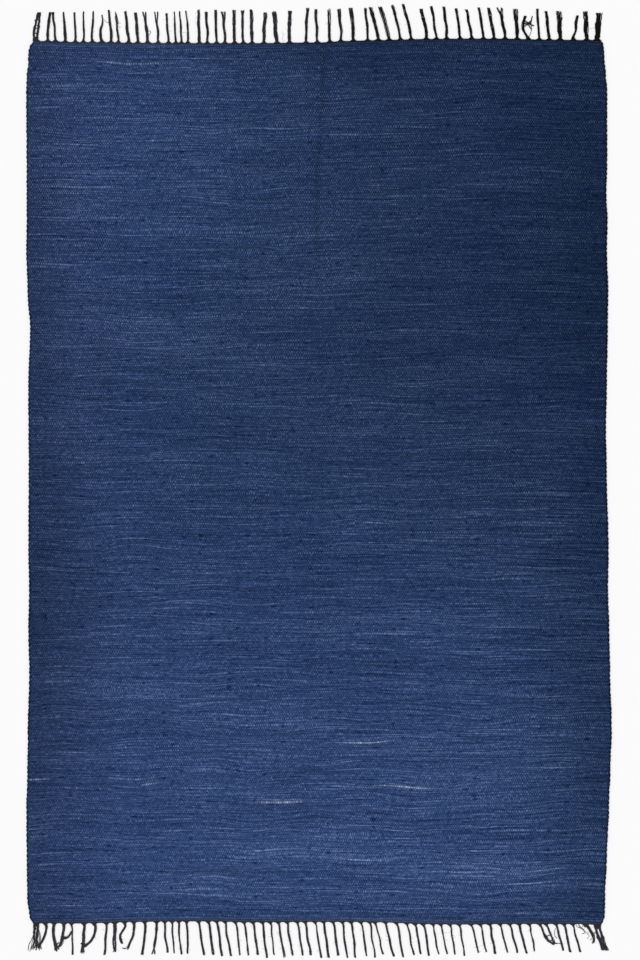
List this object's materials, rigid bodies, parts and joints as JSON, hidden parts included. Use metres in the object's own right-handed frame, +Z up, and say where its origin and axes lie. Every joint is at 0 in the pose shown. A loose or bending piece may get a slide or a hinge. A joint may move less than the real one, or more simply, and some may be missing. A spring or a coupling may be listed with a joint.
{
  "type": "rag rug",
  "caption": "Flat hand-woven cotton rag rug with looped selvedges and a knotted fringe of dark warp ends at each short end.",
  "frame": {"origin": "on the floor plane, under the middle of the rug's outline, fringes included", "axes": "+Y along the rug's length towards the far fringe (top of the picture), +X across the rug to the picture's right, +Z up out of the floor"},
  "size_m": [1.2112, 1.9708, 0.005],
  "materials": {
    "rag_weft": "matte indigo cotton rag weave with lighter streaks",
    "warp_yarn": "matte blue-black cotton yarn, knotted and frayed"
  },
  "bodies": {
    "root": {"woven_panel": "rag_weft", "fringe_far": "warp_yarn", "fringe_near": "warp_yarn"}
  },
  "joints": []
}
